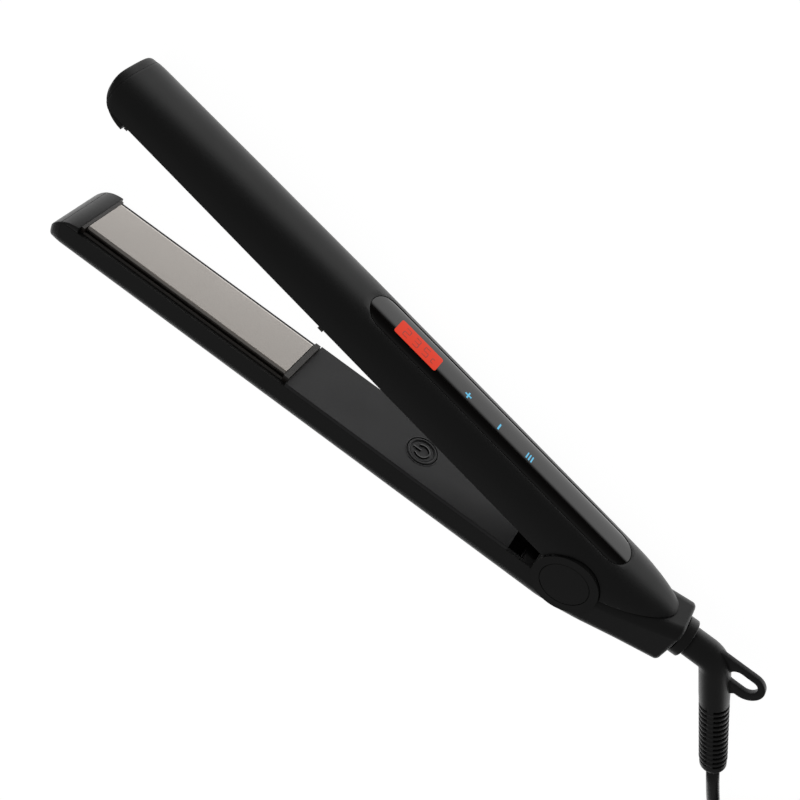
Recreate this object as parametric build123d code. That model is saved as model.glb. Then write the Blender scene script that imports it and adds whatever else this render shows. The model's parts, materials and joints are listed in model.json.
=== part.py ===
from build123d import *
import math
import os

# Flat iron for hair, lying on its side on a table and held open by its hinge spring. Millimetres.
# Row frame: the hinge axis is Z and the table is z = 0. The lower arm points along +X with its back
# towards +Y. The upper arm is on the -Y side, turned away from the lower one by open_angle.

# ---------------------------------------------------------------- driving dimensions
plate_length = 110.0          # heated plate, along the arm
plate_width = 24.0            # heated plate, across the arm
plate_start = 150.5           # from the hinge axis to the plate
plate_skin = 2.0              # thickness of the plate's working face
plate_lip = 5.2               # depth of the plate's folded long edges
lip_thickness = 1.6
plate_rounding = 1.1          # along its working edges
float_travel = 1.0            # how far a plate gives way when hair is pressed
open_angle = 13.6             # degrees between the arms at rest
mate_y = 1.3                  # plane where the two plates meet, above the hinge axis
wall = 2.0                    # casing wall
rail_gap = 0.5                # between the plate's edges and the tray's rails
rail_thickness = 1.2
rail_fit = 0.2                # between the rails and the casing's walls
bed_floor = 8.2               # the tray's floor, below the meeting plane
bed_thickness = 1.5
bed_gap = 0.35                # between the plate's ends and the tray's cross ribs
bed_rib_in = 2.6              # cross rib on the handle's side
bed_rib_tip = 1.6             # cross rib on the tip's side
bed_screw_inset = 6.0         # from the plate's ends
heater_margin = 12.0          # from the plate's ends to the heater
heater_thickness = 2.4
heater_width = 16.0
pad_inset = 27.0              # silicone pads, from the plate's ends
pad_radius = 4.0
pad_gap = 0.1                 # between a pad and the heater, with the plate pressed fully in
edge_depth = 3.5              # casing edge, below the meeting plane
cover_depth = 1.7             # inner cover's face, below the meeting plane
cover_thickness = edge_depth - cover_depth - 0.05
lower_depth = 20.0            # back of the lower arm, below the meeting plane
cap_reach = 11.0              # from the plate to the end cap's seam across the back
nose_reach = 2.1              # from the plate to the end cap's rounded nose
lower_nose_length = 16.2
upper_nose_length = 14.6
nose_top = 0.5                # nose at the plate's end, below the meeting plane
corner_deep = 8.5             # back corners are part ellipses: this deep
corner_wide = 7.0             # and this wide
hub_radius = 15.4             # round boss at the hinge
hub_proud = 0.7               # how far the boss stands out of the casing's sides
hub_gap = 0.45                # round the boss, in the upper casing
hub_cap_radius = 11.2
cap_thickness = 1.2
head_z = 1.3                  # outer face of the hinge pin's heads, from the boss's face
boss_inner = 10.8             # inner face of a boss plate, from the middle of the arm
pin_radius = 3.0
pin_head = 1.5                # how far its heads stand out round it
pin_head_height = 1.3
bush_wall = 1.6
barrel_wall = 3.0             # knuckle of the upper arm, round the bush
spring_wire = 0.55            # radius of the hinge spring's wire
spring_clearance = 1.85       # from the pin to the spring's coil
spring_turns = 3.5
spring_pitch = 1.35
spring_leg = 6.0
knuckle_top = 4.4             # of the upper arm's knuckle, over the arms' middle plane
running_gap = 0.05            # radial clearance of a turning fit
slip_gap = 0.3                # between pieces that only lie side by side
cover_start = 28.0            # lower inner cover
cover_gap = 3.1               # from the covers' ends to the plate
lip_height = 2.2              # the cover's lips inside the casing's walls
lip_wall = 1.6
board_start = 36.0            # mains board
board_gap = 12.5              # from its end to the plate
board_width = 24.4
board_depth = 12.4
board_thickness = 1.6
board_posts = (46.0, 128.0)
board_parts = [               # x, z, length, height, width of the capacitor, relay and driver
    (58.0, -4.5, 15.0, 5.5, 12.0),
    (104.0, 4.0, 18.0, 6.0, 11.0),
    (120.0, -6.0, 10.0, 4.5, 8.0),
]
switch_height = 3.6
post_radius = 3.2
screw_radius = 1.3
button_x = 82.3
button_radius = 7.0
button_gap = 0.4
button_dish = 5.5
button_travel = 0.6
window_start = -10.5
window_end = 142.5
window_width = 17.2
window_thickness = 1.2
window_sunk = 0.2            # face below the casing's back
window_backing = 0.8         # extra casing thickness under the window
window_fit = 0.15             # round it
lcd_start = 104.0
lcd_length = 23.8
lcd_width = 8.6
lcd_rim = 1.5
key_height = 3.4              # from the window to the control board
touch_first = 50.1            # menu, minus and plus keys, from the hinge outwards
touch_pitch = 18.3
touch_radius = 4.0
tail_end = -51.9              # back end of the lower arm's tail housing
tail_corner = 5.2
deck_angle = 14.5             # slope of the tail housing's deck
deck_y = -3.4                 # deck's height at deck_x
deck_x = -15.0
swivel_room = (-36.0, -14.0)  # hollow behind the boss for the wires, along the arm
swivel_y = -0.9               # axis of the cord's swivel
collar_radius = 9.1
collar_length = 4.4
neck_radius = 6.9
stem_radius = 5.0
flange_radius = 7.4
bend_x = -71.4                # where the neck turns into the strain relief
boot_turn = 56.75             # degrees from the neck's direction
boot_radius = 6.7
boot_tip_radius = 6.1
boot_length = 69.0            # from the bend
rib_count = 13
rib_pitch = 3.05
rib_first = 27.0              # first groove, from the bend
groove_width = 1.5
groove_depth = 1.2
web_width = 2.8
loop_thickness = 3.2
loop_radius = 7.9
loop_end_x = -89.0
loop_y = 0.4
slot_rise = 0.8               # slot's middle over the tab's, away from the cord
slot_length = 13.6
slot_width = 7.6
cord_radius = 3.1
coil_radius = 33.0            # middle of the coil's turns
coil_columns = 3
coil_layers = 4
coil_centre = (-187.0, 101.2)
tie_thickness = 0.7
tie_width = 6.0
tie_shift = -2.5              # along Y, clear of the cord that comes to the coil
plug_length = 36.0
plug_width = 26.0
plug_height = 13.6
plug_relief = 14.0
plug_pin_radius = 2.0
plug_pin_length = 19.0
plug_pin_pitch = 18.6

# ---------------------------------------------------------------- values that follow
bed_half = plate_width / 2 + rail_gap + rail_thickness
half = bed_half + rail_fit + wall
mid = half + hub_proud        # height of the arms' middle plane over the table
plate_end = plate_start + plate_length
cap_start = plate_end + cap_reach
nose_start = plate_end + nose_reach
cover_end = plate_start - cover_gap
board_end = plate_start - board_gap
pad_places = (plate_start + pad_inset, plate_end - pad_inset)
bed_screws = (plate_start + bed_screw_inset, plate_end - bed_screw_inset)
switch_top = board_depth - switch_height
bush_radius = pin_radius + bush_wall
barrel_radius = bush_radius + barrel_wall
spring_radius = pin_radius + spring_clearance + spring_wire
spring_room = spring_radius + 1.6
spring_floor = mid + knuckle_top          # the hinge spring sits over the knuckle
window_deep = window_sunk + window_thickness
neck_start = tail_end - collar_length - 0.7 - slip_gap
os.makedirs("parts", exist_ok=True)


def save(shape, name, colour):
    """One node, one file."""
    solids = shape.solids()
    assert len(solids) == 1, (name, len(solids))
    shape = solids[0]
    shape.label = name
    shape.color = Color(*colour)
    export_step(shape, f"parts/{name}.step")
    print(f"{name:24s} {shape.volume / 1000:9.3f} cm3")


def place(shape, upper):
    """Puts an arm's piece, drawn as a lower arm's piece, on the arm where it belongs."""
    if not upper:
        return shape
    turned = mirror(shape, Plane(origin=(0, mate_y, 0), z_dir=(0, 1, 0)))
    return turned.rotate(Axis((0, 0, 0), (0, 0, 1)), -open_angle)


def block(x0, x1, h0, h1, half_z, z_mid=0.0):
    """A box in an arm: x along it, h below the meeting plane, half_z each way from z_mid."""
    box = Box(x1 - x0, h1 - h0, 2 * half_z)
    return Pos((x0 + x1) / 2, mate_y + (h0 + h1) / 2, mid + z_mid) * box


def peg(x, z, h0, h1, radius):
    """A cylinder that stands in an arm, across the meeting plane's direction."""
    disc = Plane(origin=(x, mate_y + h0, mid + z), x_dir=(1, 0, 0), z_dir=(0, 1, 0)) * Circle(radius)
    return extrude(disc, h1 - h0)


def pin_z(x, y, z0, z1, radius):
    """A cylinder along the hinge's direction."""
    return Pos(x, y, (z0 + z1) / 2) * Cylinder(radius, z1 - z0)


def section(x, half_width, top, depth, inset=0.0, corner=(corner_deep, corner_wide)):
    """An arm's cross-section at x: open side at top, rounded back at depth (both below the plates)."""
    w = half_width - inset
    d = depth - inset
    b = min(corner[1], 0.75 * half_width) - 0.6 * inset
    a = min(corner[0], 0.6 * (depth - top)) - 0.6 * inset
    s = math.sqrt(0.5)
    plane = Plane(origin=(x, mate_y, mid), x_dir=(0, 1, 0), z_dir=(1, 0, 0))
    with BuildSketch(plane) as made:
        with BuildLine():
            Line((top, -w), (d - a, -w))
            ThreePointArc((d - a, -w), (d - a + a * s, -w + b - b * s), (d, -w + b))
            Line((d, -w + b), (d, w - b))
            ThreePointArc((d, w - b), (d - a + a * s, w - b + b * s), (d - a, w))
            Line((d - a, w), (top, w))
            Line((top, w), (top, -w))
        make_face()
    return made.sketch


def body(stations, top, inset=0.0, ruled=True):
    """A solid through cross-sections at (x, half width, depth)."""
    return loft([section(x, w, top, d, inset).faces()[0] for x, w, d in stations], ruled=ruled)


def tail_section(x, half_width, depth, top_height):
    """The tail housing's section: a casing's back, and a rounded top above the hinge's level."""
    share = (lower_tail[0][0] - x) / (lower_tail[0][0] - tail_end)
    corner = (corner_deep + (tail_corner - corner_deep) * share,
              corner_wide + (tail_corner - corner_wide) * share)
    made = section(x, half_width, -mate_y - top_height, depth, corner=corner)
    return fillet(made.vertices().group_by(Axis.Y)[0], tail_corner)


def tail_body():
    return loft([tail_section(*station).faces()[0] for station in lower_tail], ruled=True)


# ---------------------------------------------------------------- shapes of the two arms
lower_run = [(6.0, half, lower_depth), (cap_start, half, lower_depth)]
deck_slope = math.tan(math.radians(deck_angle))


def deck_rise(x):
    """Height of the tail housing's deck over the hinge's level at x."""
    return (deck_x - x) * deck_slope - deck_y


lower_tail = [                # x, half width, depth of the underside, height of the top
    (6.0, half, lower_depth, 30.0),
    (-6.0, half, 18.4, 27.0),
    (deck_x, half - 0.2, 16.45, deck_rise(deck_x)),
    (-22.0, half - 0.8, 14.95, deck_rise(-22.0)),
    (-32.0, half - 1.9, 13.2, deck_rise(-32.0)),
    (tail_end, half - 4.6, 11.0, deck_rise(tail_end)),
]
upper_run = [
    (-12.0, half, 23.7),
    (145.0, half, 21.5),
    (215.0, half, 19.4),
    (cap_start, half, 17.3),
]
upper_stern = [
    (-12.0, half, 23.7),
    (-20.0, half - 0.6, 23.8),
    (-28.0, half - 2.2, 23.7),
    (-36.0, half - 4.9, 23.3),
    (-42.0, half - 8.0, 22.5),
    (-46.8, half - 11.4, 21.2),
]
window_drop = upper_run[0][2] - upper_run[1][2]
window_slope = math.degrees(math.atan2(window_drop, upper_run[1][0] - upper_run[0][0]))


def upper_depth(x):
    """Depth of the upper casing's back at x."""
    for (x0, _, d0), (x1, _, d1) in zip(upper_run, upper_run[1:]):
        if x0 <= x <= x1:
            return d0 + (d1 - d0) * (x - x0) / (x1 - x0)
    raise ValueError(x)


def deck_zone(gap, reach, far_y):
    """Everything on one side of the tail housing's deck, from a little before its front edge."""
    front = deck_x + reach
    back = deck_x - 60
    y_front = deck_y - gap + reach * deck_slope
    y_back = deck_y - gap - 60 * deck_slope
    with BuildSketch(Plane.XY) as made:
        with BuildLine():
            Polyline((front, y_front), (back, y_back), (back, far_y), (front, far_y), close=True)
        make_face()
    return extrude(made.sketch, 80).moved(Location((0, 0, mid - 40)))


def hub_zone(radius, z0, z1):
    return pin_z(0, 0, z0, z1, radius)


# ---------------------------------------------------------------- finishes, as plain colours
black = (0.03, 0.03, 0.035)
charcoal = (0.09, 0.09, 0.095)
titanium = (0.45, 0.43, 0.41)
steel = (0.6, 0.6, 0.62)
brass = (0.75, 0.6, 0.3)
board_green = (0.06, 0.25, 0.12)
white = (0.85, 0.85, 0.82)
silicone = (0.75, 0.3, 0.2)


# ---------------------------------------------------------------- casings
def inner_hollow(stations, top):
    return body(stations, top, inset=wall)


def lower_shell():
    tail = tail_body()
    end = tail.faces().sort_by(Axis.X)[0]
    tail = fillet(end.edges(), 2.0)
    shell = body(lower_run, edge_depth) + tail
    shell -= deck_zone(0.0, 0.0, -80)
    shell -= block(deck_x, 30, -40, edge_depth, 30)
    shell += hub_zone(hub_radius, 0, 2 * mid)
    hollow = inner_hollow([(20.0, half, lower_depth), (cap_start + 1, half, lower_depth)], edge_depth - 1)
    shell -= hollow
    shell -= block(-15.2, 20.5, -30, lower_depth - wall - 2.6, boss_inner)
    shell -= block(*swivel_room, -1.2, 10.6, 8.6)
    shell -= pin_x(tail_end - 1, swivel_room[0] + 1, stem_radius + running_gap)
    shell -= pin_x(swivel_room[0] - 11, swivel_room[0] + 1, flange_radius + 0.5)
    shell -= hub_zone(pin_radius + running_gap, 0, 2 * mid)
    for z0, z1 in ((-1, cap_thickness + 0.05), (2 * mid - cap_thickness - 0.05, 2 * mid + 1)):
        shell -= hub_zone(hub_cap_radius + 0.25, z0, z1)
    seat = head_z + pin_head_height + 0.05
    for z0, z1 in ((0, seat), (2 * mid - seat, 2 * mid)):
        shell -= hub_zone(pin_radius + pin_head + slip_gap, z0, z1)
    return shell


def pin_x(x0, x1, radius, y=swivel_y):
    """A cylinder along the swivel's direction."""
    return Pos((x0 + x1) / 2, y, mid) * Rot(0, 90, 0) * Cylinder(radius, x1 - x0)


def nose_outline(length, depth):
    """Side view of an end cap: a quarter ellipse from the plate's end down to the back."""
    drop = depth - nose_top - 1.8
    x, y = nose_start + 0.05, mate_y + nose_top
    s = math.sqrt(0.5)
    tip = (x + length, y + drop)
    bend_point = (x + length * s, y + drop * (1 - s))
    with BuildSketch(Plane.XY) as made:
        with BuildLine():
            Line((x, mate_y + depth), (x, y))
            ThreePointArc((x, y), bend_point, tip)
            RadiusArc(tip, (tip[0] - 1.8, mate_y + depth), 1.8)
            Line((tip[0] - 1.8, mate_y + depth), (x, mate_y + depth))
        make_face()
    return made.sketch


def tip_plan(length):
    """Plan view of an arm's end: square beside the plate, rounded at both corners, gently bowed."""
    end = nose_start + length
    shoulder, flat = half - 5.0, end - 1.2
    lean = 5.0 * (1 - math.sqrt(0.5))
    with BuildSketch(Plane.XZ) as made:
        with BuildLine():
            Line((nose_start - 1, -half), (flat - 5.0, -half))
            ThreePointArc((flat - 5.0, -half), (flat - lean, -half + lean), (flat, -shoulder))
            ThreePointArc((flat, -shoulder), (end, 0), (flat, shoulder))
            ThreePointArc((flat, shoulder), (flat - lean, half - lean), (flat - 5.0, half))
            Line((flat - 5.0, half), (nose_start - 1, half))
            Line((nose_start - 1, half), (nose_start - 1, -half))
        make_face()
    return extrude(made.sketch, 60, both=True).moved(Location((0, 0, mid)))


def end_cap(length, depth, stations, backing=0.0):
    """An arm's end: a rounded nose beside the plate, then the whole end beyond the seam."""
    nose = extrude(nose_outline(length, depth + 0.5), 2 * half).moved(Location((0, 0, mid - half)))
    nose &= body(stations, -5.0)
    nose &= tip_plan(length)
    nose -= block(nose_start - 1, cap_start + 0.15, edge_depth - 0.15, 40, 30)
    x0, x1 = nose_start + 0.2, cap_start + 2.0
    inside = body([(x, w, d - backing) for x, w, d in stations], edge_depth + 1.5, wall + 0.3)
    nose += inside & block(x0, x1, 0, 40, 30)
    return nose + block(x0, x0 + 4.0, edge_depth - 0.4, edge_depth + 3.0, half - wall - 3.0)


def lower_end_cap():
    return end_cap(lower_nose_length, lower_depth, [(250.0, half, lower_depth), (300.0, half, lower_depth)])


def upper_end_cap():
    x, w, d = upper_run[-1]
    slope = (upper_run[-2][2] - d) / (x - upper_run[-2][0])
    stations = [(x - 15, w, d + 15 * slope), (x + 15, w, d - 15 * slope)]
    return end_cap(upper_nose_length, d, stations, window_backing)


def on_back(x0, x1, width, depth0, depth1, rounded=False):
    """A slab let into the upper arm's back, between two depths below it."""
    length = x1 - x0
    if rounded:
        outline = SlotOverall(length, width)
    else:
        outline = RectangleRounded(length, width, 1.0)
    mid_x = (x0 + x1) / 2 - upper_run[0][0]
    flat = extrude(Plane.XZ * Pos(mid_x, 0) * outline, depth1 - depth0)
    low = flat.bounding_box().min.Y
    flat = flat.moved(Location((0, -low - depth1, 0)))
    flat = flat.rotate(Axis((0, 0, 0), (0, 0, 1)), -window_slope)
    return flat.moved(Location((upper_run[0][0], mate_y + upper_run[0][2], mid)))


def upper_shell():
    """Made as drawn, opened, and then cut clear of the boss and the tail housing."""
    shell = body(upper_run, edge_depth) + body(upper_stern, -6.0, ruled=False)
    room = [(16.0, half, upper_depth(16.0)), *upper_run[1:-1], (cap_start + 1, half, upper_run[-1][2])]
    room = [(x, w, d - window_backing) for x, w, d in room]
    shell -= inner_hollow(room, edge_depth - 1)
    shell -= block(-60, 16.2, -20, edge_depth, 30)
    fit = window_fit
    shell -= on_back(window_start - fit, window_end + fit, window_width + 2 * fit, -3.0, window_deep, True)
    shell -= on_back(touch_first - 8.1, window_end - 9.5, 12.0, 0, 9.0)
    shell = place(shell, True)
    shell -= deck_zone(slip_gap, 8.0, 60)
    shell -= hub_zone(hub_radius + hub_gap, -10, 2 * mid + 10)
    z0 = mid - boss_inner + slip_gap
    z1 = mid + boss_inner - slip_gap
    web = place(block(-5.5, 5.5, 8.5, 19.0, (z1 - z0) / 2), True)
    barrel = hub_zone(barrel_radius, z0, spring_floor)
    shell = shell + web + barrel
    shell -= hub_zone(bush_radius, z0 - 1, spring_floor + 1)
    shell -= hub_zone(spring_room, spring_floor, z1 + 1)
    return shell


# ---------------------------------------------------------------- pieces that both arms have
def heater_bed(upper):
    """Tray that the plate floats in, with a cross rib at each end of the plate."""
    x0 = plate_start - bed_gap
    x1 = plate_end + bed_gap
    root = bed_floor + 0.5
    bed = block(x0 - bed_rib_in, x1 + 1.2, bed_floor, bed_floor + bed_thickness, bed_half - 0.7)
    bed += block(x0 - bed_rib_in, x0, 0.05, root, bed_half)
    bed += block(x1, x1 + bed_rib_tip, 0.3, root, bed_half)
    for side in (-1, 1):
        rail_z = side * (bed_half - rail_thickness / 2)
        bed += block(x0 - 0.5, x1 + 0.5, edge_depth + 0.9, root, rail_thickness / 2, rail_z)
    for x in bed_screws:
        bed -= peg(x, 0, bed_floor - 1, bed_floor + 3, 1.6)
    return place(bed, upper)


def plate(upper):
    """Coated aluminium extrusion: a flat face with its long edges folded down."""
    x0, x1 = plate_start, plate_end
    w = plate_width / 2
    slab = block(x0, x1, 0, plate_lip, w)
    edges = slab.edges().filter_by(Axis.X).group_by(Axis.Y)[0]
    slab = fillet(edges, plate_rounding)
    slab -= block(x0 - 1, x1 + 1, plate_skin, plate_lip + 1, w - lip_thickness)
    return place(slab, upper)


def heater(upper):
    """Ceramic heater behind the plate's face; it moves with the plate."""
    start, end = plate_start + heater_margin, plate_end - heater_margin
    return place(block(start, end, plate_skin, plate_skin + heater_thickness, heater_width / 2), upper)


def float_pad(upper, x):
    """Silicone pad on the tray's floor, as high as it is with the plate pressed fully in."""
    top = plate_skin + heater_thickness + float_travel + pad_gap
    return place(peg(x, 0, top, bed_floor, pad_radius), upper)


def bed_screw(upper, x):
    head = peg(x, 0, bed_floor - 1.5, bed_floor - 0.05, 2.6)
    shank = peg(x, 0, bed_floor - 0.1, bed_floor + 5.3, 1.45)
    return place(head + shank, upper)


def save_arm_set(arm, upper):
    save(heater_bed(upper), f"{arm}_heater_bed", charcoal)
    save(plate(upper), f"{arm}_plate", titanium)
    save(heater(upper), f"{arm}_heater", white)
    for n, x in enumerate(pad_places):
        save(float_pad(upper, x), f"{arm}_float_pad_{n + 1}", silicone)
    for n, x in enumerate(bed_screws):
        save(bed_screw(upper, x), f"{arm}_bed_screw_{n + 1}", steel)


# ---------------------------------------------------------------- handle pieces
def lower_cover():
    """Flat inner face of the lower handle, flush with the casing's outside, with the button's hole."""
    slab = block(cover_start, cover_end, cover_depth, cover_depth + cover_thickness, half - 0.05)
    slab = fillet(slab.edges().filter_by(Axis.X).group_by(Axis.Y)[0], 0.5)
    lip_half = half - wall - slip_gap
    lips = block(cover_start + 2, cover_end - 2, edge_depth - 0.1, edge_depth + lip_height, lip_half)
    lips -= block(cover_start, cover_end, 0, edge_depth + 4, lip_half - lip_wall)
    slab += lips
    slab -= peg(button_x, 0, 0, edge_depth + 1, button_radius + button_gap)
    return slab


def upper_cover():
    slab = block(20.5, cover_end, cover_depth, cover_depth + 1.9, half - wall - 0.15)
    return place(fillet(slab.edges().filter_by(Axis.X).group_by(Axis.Y)[0], 0.5), True)


def power_button():
    """Dished button with a flange that keeps it behind the cover, and a stem over the switch."""
    cap_piece = peg(button_x, 0, cover_depth - 0.3, edge_depth + 0.6, button_radius)
    rim = cap_piece.edges().filter_by(GeomType.CIRCLE).sort_by(Axis.Y)[0]
    cap_piece = fillet(rim, 0.4)
    cap_piece += peg(button_x, 0, edge_depth + 0.2, edge_depth + 1.1, button_radius + 1.2)
    cap_piece += peg(button_x, 0, edge_depth + 1.0, switch_top - button_travel - 0.15, 2.2)
    cap_piece -= peg(button_x, 0, 0, cover_depth + 0.5, button_dish)
    return cap_piece


def power_switch():
    base = block(button_x - 3, button_x + 3, switch_top + 1.0, board_depth, 3.0)
    return base + peg(button_x, 0, switch_top, switch_top + 1.2, 1.75)


def main_board():
    board = block(board_start, board_end, board_depth, board_depth + board_thickness, board_width / 2)
    for x in board_posts:
        board -= peg(x, 0, board_depth - 1, board_depth + 3, 1.6)
    return board


def board_part(n):
    """Capacitor, relay, transformer and driver: the tall parts of the mains board."""
    x, z, length, height, width = board_parts[n]
    return block(x - length / 2, x + length / 2, board_depth - height, board_depth, width / 2, z)


def casing_post(x):
    return peg(x, 0, board_depth + board_thickness, lower_depth - wall + 0.2, post_radius)


def board_screw(x):
    head = peg(x, 0, board_depth - 1.5, board_depth, 2 * screw_radius)
    return head + peg(x, 0, board_depth - 0.1, board_depth + 4.5, screw_radius)


def display_window():
    return place(on_back(window_start, window_end, window_width, window_sunk, window_deep, True), True)


def lcd_panel():
    """Display under the window, with a rim round its lit part."""
    x0, x1 = lcd_start - lcd_rim, lcd_start + lcd_length + lcd_rim
    return place(on_back(x0, x1, lcd_width + 2.0, window_deep, window_deep + 2.0), True)


def control_board():
    top = window_deep + key_height
    return place(on_back(touch_first - 6.1, window_end - 11.5, 11.4, top, top + 1.2), True)


def touch_pad(n):
    """Sensing pad of one key, between the window and the control board."""
    x = touch_first + n * touch_pitch
    pad = on_back(x - touch_radius, x + touch_radius, 2 * touch_radius, window_deep, window_deep + key_height)
    return place(pad, True)


# ---------------------------------------------------------------- hinge
def hinge_pin():
    pin = pin_z(0, 0, head_z, 2 * mid - head_z, pin_radius)
    seat = head_z + pin_head_height
    for z0, z1 in ((head_z, seat), (2 * mid - seat, 2 * mid - head_z)):
        pin += pin_z(0, 0, z0, z1, pin_radius + pin_head)
    return pin


def hub_cap(far):
    z0 = 0.0 if far else 2 * mid - cap_thickness
    disc = pin_z(0, 0, z0, z0 + cap_thickness, hub_cap_radius)
    outer = disc.faces().sort_by(Axis.Z)[0 if far else -1]
    return fillet(outer.edges(), 0.25)


def hinge_bush():
    ring = pin_z(0, 0, mid - boss_inner + slip_gap, spring_floor, bush_radius)
    return ring - pin_z(0, 0, 0, 2 * mid, pin_radius + running_gap)


def hinge_spring():
    """Torsion spring on the hinge pin, with one leg that bears on the upper arm's web."""
    start = Location((0, 0, spring_floor + spring_wire + 0.2))
    helix = Helix(spring_pitch, spring_turns * spring_pitch, spring_radius).moved(start)
    coil = sweep(Plane(origin=helix @ 0, z_dir=helix % 0) * Circle(spring_wire), path=helix)
    leg = Plane(origin=helix @ 0, z_dir=-(helix % 0)) * Circle(spring_wire)
    return coil + extrude(leg, spring_leg)


# ---------------------------------------------------------------- swivel, elbow and cord
def swivel_collar():
    ring = pin_x(tail_end - collar_length - 0.7, tail_end - 0.7, collar_radius)
    lip = ring.edges().filter_by(GeomType.CIRCLE).group_by(Axis.X)[0]
    ring = fillet(lip.sort_by(lambda e: e.length)[-1], 0.6)
    ring += pin_x(tail_end - 0.8, tail_end, collar_radius - 1.6)
    return ring - pin_x(-80, -20, stem_radius + running_gap)


def swivel_stem():
    """Hollow core: the elbow is moulded on its back end, and a flange keeps it in the casing."""
    stem = pin_x(neck_start - 9.0, -38.0, stem_radius)
    stem += pin_x(-43.0, -41.0, flange_radius)
    return stem - pin_x(-80, -20, 3.4)


boot_way = Vector(-math.cos(math.radians(boot_turn)), math.sin(math.radians(boot_turn)), 0)
bend = Vector(bend_x, swivel_y, mid)
boot_end = bend + boot_way * boot_length


def along_boot(distance):
    """Plane across the strain relief at a distance from the bend; local X is towards the table's up."""
    return Plane(origin=bend + boot_way * distance, x_dir=(0, 0, 1), z_dir=boot_way)


def cord_elbow():
    neck = pin_x(bend_x, neck_start, neck_radius)
    neck = fillet(neck.edges().sort_by(Axis.X)[-1], 0.8)
    knee = Pos(bend_x, swivel_y, mid) * Sphere(neck_radius)
    short = rib_first - 4.0
    upper_boot = loft([
        (along_boot(0) * Circle(neck_radius - 0.2)).face(),
        (along_boot(short) * Circle(boot_radius + 0.1)).face(),
    ])
    lower_boot = loft([
        (along_boot(short) * Circle(boot_radius + 0.1)).face(),
        (along_boot(boot_length) * Circle(boot_tip_radius)).face(),
    ])
    tip = lower_boot.faces().sort_by(lambda f: f.center().dot(boot_way))[-1]
    lower_boot = fillet(tip.edges(), 1.6)
    elbow = neck + knee + upper_boot + lower_boot
    for n in range(rib_count):
        plane = along_boot(rib_first + n * rib_pitch)
        ring = Circle(boot_radius + 2) - Circle(boot_radius - groove_depth)
        ring -= Rectangle(4 * boot_radius, web_width)
        elbow -= extrude(plane * ring, groove_width / 2, both=True)
    elbow += hanging_loop()
    elbow -= slot_hole()
    elbow -= pin_x(neck_start - 9.0, -40, stem_radius)
    elbow -= pin_x(bend_x, neck_start - 8.0, 3.0)
    elbow -= extrude(along_boot(1.0) * Circle(cord_radius), boot_length)
    return elbow


def hanging_loop():
    """Flat tab behind the elbow, in the plane of the opening arms."""
    join = bend + boot_way * 17.0
    with BuildSketch(Plane.XY.offset(mid)) as made:
        with BuildLine():
            Polyline(
                (bend_x, swivel_y - neck_radius + 0.2),
                (loop_end_x, loop_y - loop_radius),
                (loop_end_x - 1.2, loop_y + loop_radius),
                (join.X - 2.0, join.Y),
                (bend_x, swivel_y),
                close=True,
            )
        make_face()
        with Locations((loop_end_x, loop_y)):
            Circle(loop_radius)
    return extrude(made.sketch, loop_thickness / 2, both=True)


def slot_hole():
    middle = (loop_end_x + 2.6, loop_y - slot_rise)
    outline = Plane.XY.offset(mid) * Pos(*middle) * SlotOverall(slot_length, slot_width)
    return extrude(outline, loop_thickness, both=True)


def lead_in_elbow():
    """The stretch of cord that the elbow grips; it turns with the elbow."""
    return extrude(along_boot(1.0) * Circle(cord_radius), boot_length - 1.0)


# The cord lies on the table: point by point from the strain relief to the coil.
lie = tie_thickness + cord_radius
cord_bend = boot_end + 24.0 * boot_way
cord_route = [
    (boot_end.X, boot_end.Y, mid),
    (cord_bend.X, cord_bend.Y, mid),
    (-135.6, 96.6, 9.6),
    (-151.6, 122.6, lie),
]
coil_outer = coil_radius + coil_columns * cord_radius
coil_height = coil_layers * 2 * cord_radius
coil_top = tie_thickness + coil_height
plug_z = coil_top + plug_height / 2
# From the coil's top turn to the plug, from the coil's centre.
tail_route = [
    (9.5, 38.7, coil_top - cord_radius),
    (-8.6, 38.7, coil_top + 1.2),
    (-23.4, 30.1, coil_top + 4.4),
    (-32.0, 15.3, plug_z),
    (-32.0, -2.0, plug_z),
]


def tube(points):
    """A cord along straight runs and arcs, each arc as large as its runs allow."""
    points = [Vector(*p) for p in points]
    radii = []
    for before, here, after in zip(points, points[1:], points[2:]):
        run = min((here - before).length, (after - here).length)
        turn = (here - before).get_angle(after - here)
        radii.append(0.45 * run / math.tan(math.radians(turn / 2)))
    print("cord corner radii", [round(r, 1) for r in radii])
    path = FilletPolyline(*points, radius=radii)
    made = sweep(Plane(origin=path @ 0, z_dir=path % 0) * Circle(cord_radius), path=path)
    plain = math.pi * cord_radius**2 * path.length
    print(f"cord length {path.length:.1f}, volume over section x length {made.volume / plain:.4f}")
    return made


def cord_tube():
    return tube(cord_route)


def cord_tail():
    cx, cy = coil_centre
    return tube([(cx + x, cy + y, z) for x, y, z in tail_route])


def cord_coil():
    ring = Cylinder(coil_outer, coil_height) - Cylinder(2 * coil_radius - coil_outer, coil_height + 1)
    return ring.moved(Location((*coil_centre, tie_thickness + coil_height / 2)))


def coil_tie():
    """A strap round all the turns, on the side away from the plug."""
    width = coil_columns * 2 * cord_radius
    outer = Box(width + 0.5 + 2 * tie_thickness, tie_width, coil_height + 2 * tie_thickness)
    strap = outer - Box(width + 0.5, tie_width + 1, coil_height)
    cx, cy = coil_centre
    return strap.moved(Location((cx + coil_radius, cy + tie_shift, tie_thickness + coil_height / 2)))


plug_x = coil_centre[0] + tail_route[-1][0]
plug_y = coil_centre[1] + 8.0


def along_plug(y0, y1, width, height, rounding):
    outline = Plane(origin=(plug_x, y0, plug_z), x_dir=(1, 0, 0), z_dir=(0, -1, 0))
    return extrude(outline * RectangleRounded(width, height, rounding), y0 - y1)


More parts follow.
